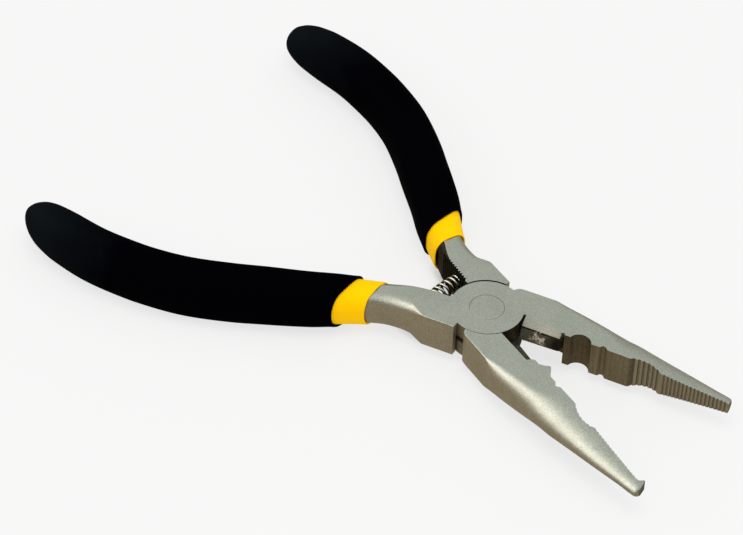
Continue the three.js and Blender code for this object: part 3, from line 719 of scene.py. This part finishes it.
# ------------------------------------------------------------------- materials
class Graph:
    """A node tree, emptied, with short ways to add nodes; an input is a value or a socket."""

    def __init__(self, owner):
        owner.use_nodes = True
        self.tree = owner.node_tree
        self.tree.nodes.clear()

    def add(self, kind, inputs={}, **props):
        node = self.tree.nodes.new("ShaderNode" + kind)
        for prop, value in props.items():
            setattr(node, prop, value)
        for key, value in inputs.items():
            socket = node.inputs[key]
            if isinstance(value, bpy.types.NodeSocket):
                self.tree.links.new(value, socket)
            elif socket.type == "RGBA" and len(value) == 3:
                socket.default_value = (*value, 1)
            else:
                socket.default_value = value
        return node

    def calc(self, operation, *values, clamp=False):
        return self.add("Math", dict(enumerate(values)), operation=operation,
                        use_clamp=clamp).outputs[0]

    def times(self, a, b, clamp=False):
        return self.calc("MULTIPLY", a, b, clamp=clamp)

    def plus(self, a, b):
        return self.calc("ADD", a, b)

    def minus(self, a, b):
        return self.calc("SUBTRACT", a, b)

    def vector(self, operation, *values):
        return self.add("VectorMath", dict(enumerate(values)),
                        operation=operation).outputs["Value"]

    def split(self, vector):
        return self.add("SeparateXYZ", {0: vector}).outputs

    def coords(self, kind="Object"):
        return self.add("TexCoord").outputs[kind]

    def attribute(self, name):
        return self.add("Attribute", attribute_name=name).outputs["Fac"]

    def noise(self, coords, scale, detail, rough):
        return self.add("TexNoise", {"Vector": coords, "Scale": scale, "Detail": detail,
                                     "Roughness": rough}).outputs["Fac"]

    def ramp(self, value, *stops):
        """Stops are (position, colour), where a single number is a grey."""
        node = self.add("ValToRGB", {"Fac": value})
        elements = node.color_ramp.elements
        while len(elements) < len(stops):
            elements.new(0.5)
        for element, (position, colour) in zip(elements, stops):
            element.position = position
            grey = isinstance(colour, (int, float))
            element.color = (*([colour] * 3 if grey else colour), 1)
        return node.outputs["Color"]

    def fade(self, value, full, none):
        """1 where the value is at full, 0 at none, straight between."""
        return self.ramp(value, *sorted([(full, 1), (none, 0)]))

    def mix(self, factor, a, b, blend="MIX"):
        return self.add("Mix", {0: factor, 6: a, 7: b}, data_type="RGBA",
                        blend_type=blend).outputs[2]

    def tint(self, colour, by):
        return self.mix(1.0, colour, by, "MULTIPLY")

    def ragged(self, distance, noise, amount):
        """A distance whose level lines wander by the noise."""
        return self.plus(distance, self.times(self.minus(noise, 0.5), amount))

    def bump(self, height, normal, strength, distance):
        return self.add("Bump", {"Height": height, "Normal": normal, "Strength": strength,
                                 "Distance": distance}).outputs["Normal"]

    def shader_mix(self, factor, a, b):
        return self.add("MixShader", {0: factor, 1: a, 2: b}).outputs[0]

    def finish(self, shader, kind="OutputMaterial"):
        self.add(kind, {"Surface": shader})


def scaled(colour, factor):
    return [min(1, c * factor) for c in colour]


def on_upper_jaw(x, y, z):
    """A point of the upper jaw's frame, in the object's, in metres."""
    cosine, sine = cos(radians(JAW_OPEN)), sin(radians(JAW_OPEN))
    return ((x * cosine - y * sine) * MM, (x * sine + y * cosine) * MM, (z - HALF_T) * MM)


# the wall tint is a painted reflection
WALL_REFLECTION_TINT = (0.96, 0.89, 0.77)
MILLED_DARK, MILLED_PALE = (0.50, 0.44, 0.35), (0.84, 0.78, 0.66)
# grime and soot colours, also used for painted shade; the coil colour is painted shade
GRIME_AND_SHADE, SOOT_AND_SHADE, COIL_SHADE = (0.075, 0.058, 0.036), (0.012, 0.010, 0.007), (0.016, 0.013, 0.009)
GROUND = (0.52, 0.465, 0.36)
PER_MM = 1000.0


def add_milling_grime_and_shade(graph, coords, colour, grime_and_shade_amount, rough):
    """Cut faces, and grime and painted shade by place; also gives the bright patch of the
    upper bevel.
    """
    # milled faces of the jaw are browner, with cutter lines across the thickness
    inner = graph.attribute("inner")
    squashed = graph.add("Mapping", {"Vector": coords, "Scale": (1, 1, 0.04)}).outputs[0]
    lines = graph.noise(squashed, scale=2600, detail=3, rough=0.6)
    milled = graph.ramp(lines, (0.32, MILLED_DARK), (0.68, MILLED_PALE))
    colour = graph.mix(inner, colour, graph.tint(colour, milled))
    # the marked grime and painted shade is broken up here and there
    wear = graph.noise(coords, scale=1300, detail=4, rough=0.6)
    marked_grime_and_shade = graph.times(graph.attribute("grime"), graph.ramp(wear, (0.30, 0.72), (0.62, 1)),
                       clamp=True)
    # one patch of the upper cutting bevel is bright from the grinding wheel
    spot = graph.vector("DISTANCE", coords, on_upper_jaw(12.0, -1.07, 1.35))
    edge = graph.noise(coords, scale=950, detail=4, rough=0.75)
    spot = graph.times(graph.ragged(spot, edge, amount=0.0075), 480.0)
    bright = graph.ramp(spot, (0.0, 1), (0.40, 0.8), (0.66, 0))
    marked_grime_and_shade = graph.times(marked_grime_and_shade, graph.minus(1.0, graph.times(bright, 0.85)), clamp=True)
    grime_and_shade_amount = graph.calc("MAXIMUM", grime_and_shade_amount, marked_grime_and_shade, clamp=True)
    return colour, grime_and_shade_amount, graph.plus(rough, graph.times(marked_grime_and_shade, 0.15)), bright


def add_soot_shade_and_grinding(graph, coords, colour, bright):
    """Black dirt and painted shade over the grime, and the bare ground patch; gives colour and
    patch.
    """
    bevelled = graph.attribute("bevel")
    height = graph.split(coords)["Z"]
    # a line of dirt along the crease of the bevel
    crease = graph.calc("ABSOLUTE", graph.plus(height, (HALF_T - CREASE_Z) * MM))
    wander = graph.noise(coords, scale=1500, detail=3, rough=0.6)
    crease = graph.times(graph.ragged(crease, wander, amount=0.0006), PER_MM)
    line = graph.fade(crease, full=0.22, none=0.62)
    # soot and painted shade by place, and darker on the bevel near the toe of the upper blade
    toe = graph.vector("DISTANCE", coords, on_upper_jaw(16.2, -1.1, 1.3))
    wander = graph.noise(coords, scale=800, detail=3, rough=0.6)
    toe = graph.plus(graph.times(toe, PER_MM), graph.times(wander, 1.2))
    deep = graph.fade(graph.times(toe, 0.2), full=0.34, none=0.92)
    deep = graph.times(graph.times(deep, bevelled), 0.9)
    soot = graph.calc("MAXIMUM", graph.attribute("soot"), deep, clamp=True)
    line = graph.times(graph.times(line, bevelled), 0.85)
    black = graph.calc("MAXIMUM", line, soot, clamp=True)
    # painted shade: a dark band along the lap plane, in the gap between the halves
    gap = graph.calc("ABSOLUTE", graph.plus(height, HALF_T * MM))
    wander = graph.noise(coords, scale=700, detail=3, rough=0.6)
    gap = graph.times(graph.ragged(gap, wander, amount=0.0012), PER_MM)
    lap_gap_shade = graph.times(graph.fade(gap, full=0.30, none=1.0), graph.attribute("lap"))
    black = graph.calc("MAXIMUM", black, graph.times(lap_gap_shade, 0.9), clamp=True)
    colour = graph.mix(black, colour, SOOT_AND_SHADE)
    chips = graph.noise(coords, scale=2100, detail=3, rough=0.7)
    chipped = graph.times(graph.ramp(chips, (0.40, 0.05), (0.54, 1)), 0.85)
    ground = graph.times(graph.times(bright, bevelled), chipped, clamp=True)
    return graph.mix(ground, colour, GROUND), ground


def add_coil_shade(graph, coords, colour, normal_z):
    """Painted shade on the lower side and the flanks of the coil."""
    height = graph.plus(graph.split(coords)["Z"], (HALF_T + 2.0) * MM)
    low = graph.fade(graph.times(height, 250.0), full=0.66, none=0.88)
    flank = graph.fade(normal_z, full=0.25, none=0.80)
    amount = graph.times(graph.calc("MAXIMUM", low, flank), 0.92)
    return graph.mix(amount, colour, COIL_SHADE)


def steel_material(name, base, rough, grain, edge, grime_and_shade_amount, marked=False, coil_shaded=False):
    """Bead-blasted steel; edge is the width of worn edges in mm, and the argument after it
    scales the grime and painted shade held in gaps.
    """
    material = bpy.data.materials.new(name)
    graph = Graph(material)
    coords = graph.coords()
    blast = graph.noise(coords, scale=3300, detail=4, rough=0.7)       # about 0.3 mm
    mottle = graph.noise(coords, scale=900, detail=4, rough=0.55)      # about 1 mm
    stains = graph.noise(coords, scale=110, detail=5, rough=0.6)
    colour = graph.ramp(stains, (0.30, scaled(base, 0.90)), (0.52, base),
                        (0.72, scaled(base, 1.05)))
    colour = graph.mix(0.22, colour, graph.ramp(mottle, (0.3, scaled(base, 0.78)),
                                                (0.7, scaled(base, 1.12))))
    colour = graph.tint(colour, graph.ramp(blast, (0.38, (0.84, 0.84, 0.83)),
                                           (0.62, (1.14, 1.14, 1.13))))
    # painted reflection: upright walls are tinted browner than the ground flats, as they
    # mirror the brown floor
    normal = graph.add("NewGeometry").outputs["Normal"]
    normal_z = graph.split(normal)["Z"]
    wall = graph.fade(graph.calc("ABSOLUTE", normal_z), full=0.15, none=0.85)
    colour = graph.mix(wall, colour, graph.tint(colour, WALL_REFLECTION_TINT))
    # worn edges: the difference between a bevelled normal and the true one
    bevel = graph.add("Bevel", {"Radius": edge * MM}, samples=6).outputs["Normal"]
    worn = graph.fade(graph.vector("DOT_PRODUCT", bevel, normal), full=0.80, none=0.985)
    patchy = graph.times(worn, graph.times(mottle, 0.45), clamp=True)
    colour = graph.mix(patchy, colour, scaled(base, 1.12))
    rough_out = graph.plus(graph.times(mottle, 0.16), rough - 0.08)    # varies by 0.08
    # grime and painted shade held in grooves and gaps, from ambient occlusion
    cover = graph.add("AmbientOcclusion", {"Distance": 0.0011}, samples=6).outputs["AO"]
    grime_and_shade_mask = graph.times(graph.fade(cover, full=0.25, none=0.72), grime_and_shade_amount, clamp=True)
    if marked:
        colour, grime_and_shade_mask, rough_out, bright = add_milling_grime_and_shade(
            graph, coords, colour, grime_and_shade_mask, rough_out)
    colour = graph.mix(grime_and_shade_mask, colour, GRIME_AND_SHADE)
    metallic = 1.0
    if marked:
        colour, ground = add_soot_shade_and_grinding(graph, coords, colour, bright)
        metallic = graph.minus(1.0, ground)
    if coil_shaded:
        colour = add_coil_shade(graph, coords, colour, normal_z)
    graph.finish(graph.add("BsdfPrincipled", {
        "Metallic": metallic, "Base Color": colour,
        "Roughness": graph.plus(rough_out, graph.times(patchy, -0.06)),
        "Normal": graph.bump(blast, bevel, strength=grain, distance=0.000045)}).outputs[0])
    return material


def vinyl_material(name, base, dark, rough, specular, scuff=0.0, tail_sheen=None):
    """Dipped vinyl, clouded from dark to base; the last argument is the paler colour of a
    painted sheen on the tails.
    """
    material = bpy.data.materials.new(name)
    graph = Graph(material)
    coords = graph.coords()
    peel = graph.noise(coords, scale=700, detail=3, rough=0.5)         # soft waviness
    fine = graph.noise(coords, scale=6500, detail=2, rough=0.5)
    cloud = graph.noise(coords, scale=60, detail=4, rough=0.6)
    colour = graph.ramp(cloud, (0.3, dark), (0.6, base))
    specks = graph.noise(coords, scale=1500, detail=2, rough=0.4)
    specks = graph.times(graph.fade(specks, full=0.78, none=0.70), scuff, clamp=True)
    colour = graph.mix(specks, colour, [min(1, c * 1.5 + 0.01) for c in base])
    if tail_sheen:
        # painted sheen: paler towards the tails
        tail_start = 84.0                       # mm from the origin, less the noise
        reach = graph.times(graph.vector("LENGTH", coords), PER_MM)
        wander = graph.noise(coords, scale=150, detail=5, rough=0.6)
        reach = graph.minus(graph.plus(reach, graph.times(wander, 14.0)), tail_start)
        tail = graph.fade(graph.times(reach, 0.05), full=1.0, none=0.0)
        colour = graph.mix(tail, colour, tail_sheen)
    normal = graph.add("Bevel", {"Radius": 0.08 * MM}, samples=4).outputs["Normal"]
    normal = graph.bump(peel, normal, strength=0.18, distance=0.00012)
    normal = graph.bump(fine, normal, strength=0.12, distance=0.00002)
    graph.finish(graph.add("BsdfPrincipled", {
        "Specular IOR Level": specular, "Base Color": colour, "Normal": normal,
        "Roughness": graph.plus(graph.times(cloud, 0.14), rough - 0.07)}).outputs[0])
    return material


STEEL = steel_material("forged_steel", base=(0.66, 0.675, 0.63), rough=0.45, grain=0.85,
                       edge=0.05, grime_and_shade_amount=0.8, marked=True)
RIVET = steel_material("rivet_steel", base=(0.65, 0.665, 0.62), rough=0.45, grain=0.8,
                       edge=0.03, grime_and_shade_amount=0.8)
WIRE = steel_material("spring_wire", base=(0.80, 0.79, 0.74), rough=0.24, grain=0.1,
                      edge=0.02, grime_and_shade_amount=0.5, coil_shaded=True)
YELLOW = vinyl_material("yellow_vinyl", base=(0.76, 0.425, 0.0002),
                        dark=(0.73, 0.40, 0.0002), rough=0.5, specular=0.02)
BLACK = vinyl_material("black_vinyl", base=(0.0003, 0.0003, 0.0010),
                       dark=(0.0001, 0.0001, 0.0006), rough=0.60, specular=0.006,
                       scuff=0.02, tail_sheen=(0.0030, 0.0044, 0.0056))


# -------------------------------------------------------------------- build it
def place_piece(obj, side, matrix, material, node, angle, mark=None):
    dress(obj, matrix, material, angle, mark)
    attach(obj, f"{side}_half")
    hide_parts(node)


for side, matrix in HALVES.items():
    lower = side == "lower"
    place_piece(half(f"{side}_half_steel", lower), side, matrix, STEEL, f"jaw_half_{side}",
                angle=19, mark=jaw_marks(lower))
for side, matrix in HALVES.items():
    for layer, material, slot in (("under", YELLOW, "yellow_vinyl"),
                                  ("over", BLACK, "black_vinyl")):
        place_piece(coat(f"{layer}coat_{side}_vinyl", side, layer), side, matrix, material,
                    f"grip_{layer}coat_{side}", angle=60)
place_piece(rivet(), "upper", LIFT, RIVET, "pivot_rivet", angle=32)


coil = dress(spring(), LIFT, WIRE, angle=60)
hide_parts("return_spring")
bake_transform(coil)

# ------------------------------------------------------------------- the floor
FLOOR_Z = (-6.34 - HALF_T) * MM
FLOOR_HALF = 6                                  # m
FLOOR_WHITE, FLOOR_MIRRORED = (0.90, 0.90, 0.90), (0.29, 0.246, 0.178)


def floor_material():
    """Glowing white, darker in mirrors, with a shaded pool under the joint."""
    material = bpy.data.materials.new("floor")
    graph = Graph(material)
    rays = graph.add("LightPath").outputs
    centre = (-13.5 * MM, 3.0 * MM, FLOOR_Z)
    away = graph.times(graph.vector("DISTANCE", graph.coords(), centre), 50.0)
    pool = graph.fade(away, full=0.40, none=0.65)
    cover = graph.add("AmbientOcclusion", {"Distance": 0.010}, samples=8).outputs["AO"]
    shade = graph.times(pool, graph.fade(cover, full=0.22, none=0.48))
    light = graph.minus(1.0, graph.times(shade, 0.92))
    glow = graph.add("Emission", {
        "Color": graph.tint((1, 1, 1), light),
        "Strength": graph.plus(graph.times(rays["Is Diffuse Ray"], 0.40), 0.85)})
    pale = graph.add("BsdfDiffuse", {"Color": graph.tint(FLOOR_WHITE, light)})
    dark = graph.add("Emission", {"Color": FLOOR_MIRRORED, "Strength": 1.0})
    seen = graph.shader_mix(0.86, pale.outputs[0], glow.outputs[0])
    graph.finish(graph.shader_mix(rays["Is Glossy Ray"], seen, dark.outputs[0]))
    return material


bm = bmesh.new()
for x, y in ((-1, -1), (1, -1), (1, 1), (-1, 1)):
    bm.verts.new((x * FLOOR_HALF, y * FLOOR_HALF, FLOOR_Z))
bm.faces.new(bm.verts)
floor_mesh = bpy.data.meshes.new("floor")
bm.to_mesh(floor_mesh)
bm.free()
floor = bpy.data.objects.new("floor", floor_mesh)
scene = bpy.context.scene
scene.collection.objects.link(floor)
floor_mesh.materials.append(floor_material())

# ------------------------------------------------------------------- the world
# what the steel mirrors, as (height, colour) from the horizon to straight above
SKY = [(0.0, (0.15, 0.13, 0.10)), (0.15, (0.30, 0.28, 0.23)), (0.45, (0.46, 0.485, 0.435)),
       (0.80, (0.48, 0.515, 0.47)), (1.0, (0.48, 0.50, 0.455))]
CAMERA_SIDE, WARM_BOX = (0.045, 0.038, 0.030), (1.82, 1.75, 1.55)


def build_world():
    """Plain white light; mirrors see the sky, a dark camera side and a warm soft box."""
    world = bpy.data.worlds.new("studio")
    scene.world = world
    graph = Graph(world)

    def rise(value, low, high):
        return graph.add("MapRange", {"Value": value, "From Min": low, "From Max": high},
                         interpolation_type="SMOOTHSTEP").outputs["Result"]

    def fall(value, low, high):
        return graph.minus(1.0, rise(value, low, high))

    coords = graph.coords("Generated")
    axes = graph.split(coords)
    sky = graph.ramp(axes["Z"], *SKY)
    facing = graph.vector("DOT_PRODUCT", coords, Vector((0.6, -0.8, 0)).normalized())
    near = graph.times(rise(facing, low=0.0, high=0.55), fall(axes["Z"], low=0.45, high=0.70))
    sky = graph.mix(graph.times(near, 0.80), sky, CAMERA_SIDE)
    minus_y = graph.times(axes["Y"], -1.0)
    slant = graph.minus(minus_y, graph.times(axes["X"], 0.667))
    box = graph.times(rise(slant, low=0.33, high=0.60), fall(minus_y, low=0.78, high=0.96))
    box = graph.times(box, rise(axes["Z"], low=0.12, high=0.42))
    box = graph.times(box, fall(axes["X"], low=0.10, high=0.35))
    sky = graph.mix(box, sky, WARM_BOX)
    plain = graph.add("Background", {"Color": (1.0, 1.0, 1.0), "Strength": 1.12})
    mirrored = graph.add("Background", {"Color": sky, "Strength": 1.0})
    glossy = graph.add("LightPath").outputs["Is Glossy Ray"]
    graph.finish(graph.shader_mix(glossy, plain.outputs[0], mirrored.outputs[0]),
                 "OutputWorld")


build_world()

# ----------------------------------------------------------- lights and camera
AZIMUTH = Matrix.Rotation(radians(40.655), 3, "Z")
TILT, ROLL = radians(43.5994), radians(1.9388)
CAMERA_PLACE = AZIMUTH @ Vector((-23.679, -389.316, 384.771))    # mm, from mid-thickness


def area_light(name, place, size, power, colour):
    """A disk aimed at the origin; the steel mirrors the world's studio instead of it."""
    light = bpy.data.lights.new(name, "AREA")
    light.shape = "DISK"
    light.size = size
    light.energy = power
    light.color = colour
    obj = bpy.data.objects.new(name, light)
    scene.collection.objects.link(obj)
    obj.location = place
    obj.rotation_euler = (-Vector(place)).to_track_quat("-Z", "Y").to_euler()
    obj.visible_glossy = False


to_camera = Vector((CAMERA_PLACE.x, CAMERA_PLACE.y, 0)).normalized()
area_light("softbox", (to_camera.x * 0.12, to_camera.y * 0.12, 0.62), size=0.42, power=2.2,
           colour=(1.0, 0.98, 0.93))
area_light("fill", (-0.5, -0.5, 0.45), size=0.5, power=0.7, colour=(0.97, 0.99, 1.0))

right = AZIMUTH @ Vector((cos(ROLL), sin(ROLL) * sin(TILT), sin(ROLL) * cos(TILT)))
down = AZIMUTH @ Vector((sin(ROLL), -cos(ROLL) * sin(TILT), -cos(ROLL) * cos(TILT)))
ahead = AZIMUTH @ Vector((0, cos(TILT), -sin(TILT)))
place = (CAMERA_PLACE - Vector((0, 0, HALF_T))) * MM
lens = bpy.data.cameras.new("camera")
lens.sensor_width = 36
lens.lens = 130.21001
lens.clip_start = 0.01
camera = bpy.data.objects.new("camera", lens)
scene.collection.objects.link(camera)
pose = Matrix.Identity(4)
for i in range(3):
    pose[i] = (right[i], -down[i], -ahead[i], place[i])
camera.matrix_world = pose
scene.camera = camera
scene.view_settings.view_transform = "Standard"
scene.view_settings.look = "None"
